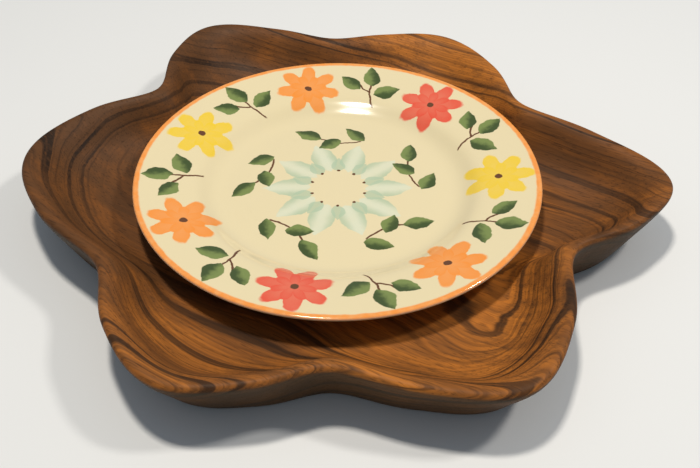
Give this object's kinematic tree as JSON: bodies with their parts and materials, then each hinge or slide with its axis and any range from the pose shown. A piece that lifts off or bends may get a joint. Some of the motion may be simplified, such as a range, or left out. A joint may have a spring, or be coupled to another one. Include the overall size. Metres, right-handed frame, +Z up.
{
  "type": "lobed wooden dish with plate",
  "caption": "Six-lobed hand-carved wooden dish with a round ceramic plate that rests in it and lifts out.",
  "frame": {"origin": "on the table, under the middle of the dish's outline", "axes": "+Z up; +X along the dish's longest extent, towards the right-hand lobe; -Y towards the two front lobes"},
  "size_m": [0.4241, 0.3762, 0.042],
  "materials": {
    "dark_wood": "oiled, satin, with dark streaks in the grain",
    "glazed_plate": "clear gloss glaze over painted flowers and an orange rim band"
  },
  "bodies": {
    "dish": {"wood_dish": "dark_wood"},
    "plate": {"ceramic_plate": "glazed_plate"}
  },
  "joints": [
    {"name": "plate_lift", "type": "slide", "parent": "dish", "child": "plate", "axis": [0, 0, 1], "range_m": [0, 0.12]}
  ]
}
